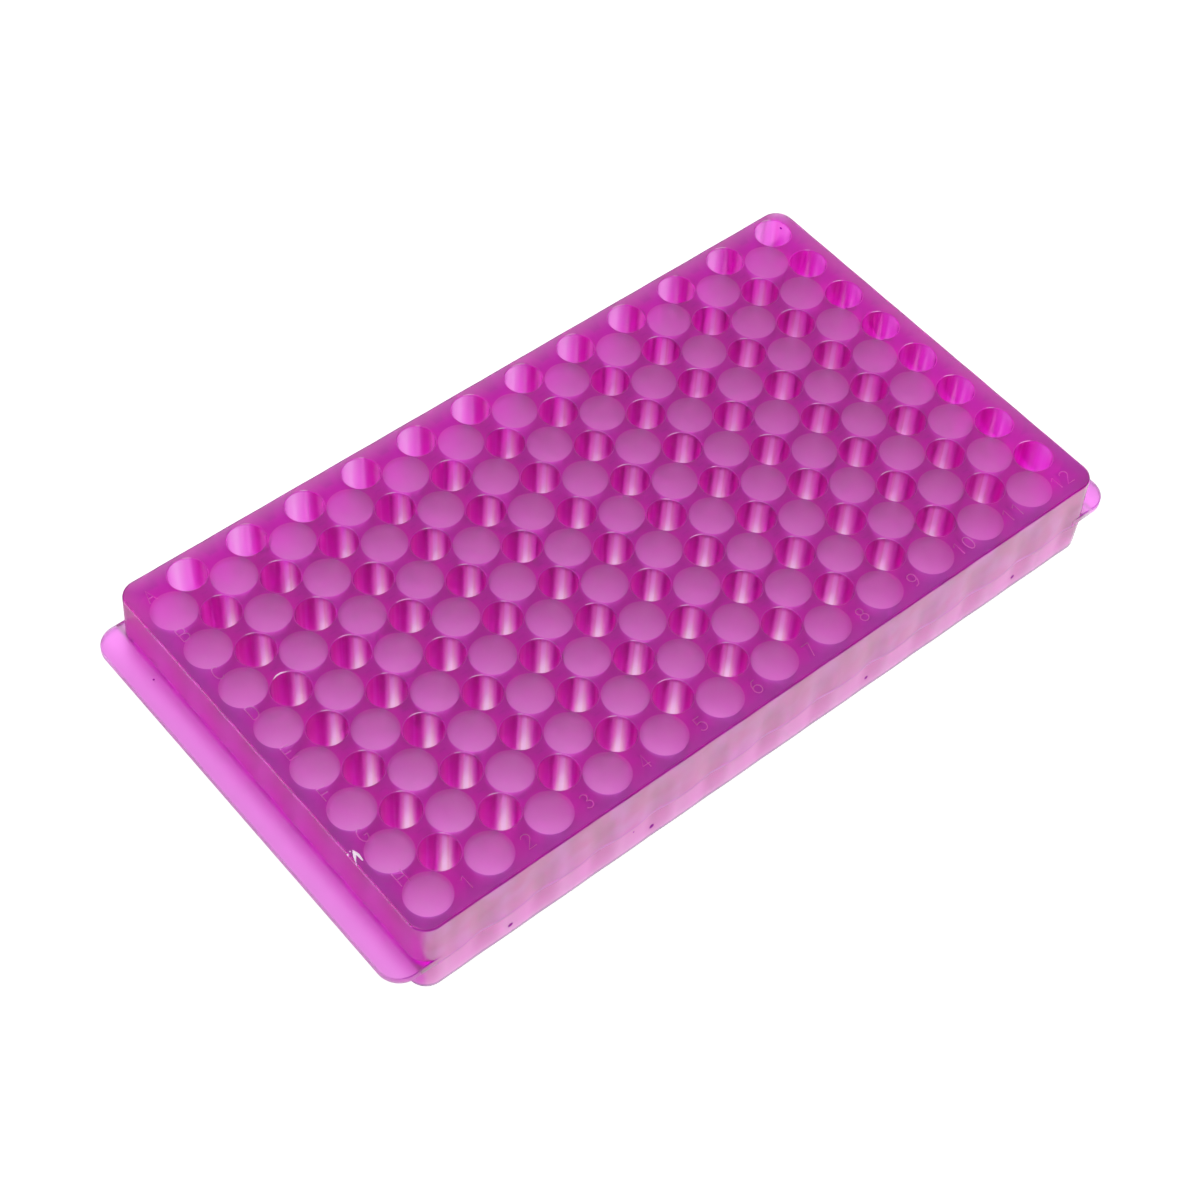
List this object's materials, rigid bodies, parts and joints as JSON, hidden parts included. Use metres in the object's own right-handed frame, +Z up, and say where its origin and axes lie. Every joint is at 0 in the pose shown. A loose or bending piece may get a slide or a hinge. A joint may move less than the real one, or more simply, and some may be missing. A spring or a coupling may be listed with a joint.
{
  "type": "microcentrifuge tube rack",
  "caption": "Low block of translucent plastic with a grid of small tube wells open above, a grid of wider wells open below, and a lifting flange at each end.",
  "frame": {"origin": "middle of the underside, on the surface that the rack stands on", "axes": "+X along the rack from column 1 to column 12, +Y from row H at the front to row A at the back, +Z up out of the small wells"},
  "size_m": [0.2206, 0.116, 0.024],
  "materials": {
    "rack_plastic": "satin translucent magenta polypropylene"
  },
  "bodies": {
    "root": {"rack": "rack_plastic"}
  },
  "joints": []
}
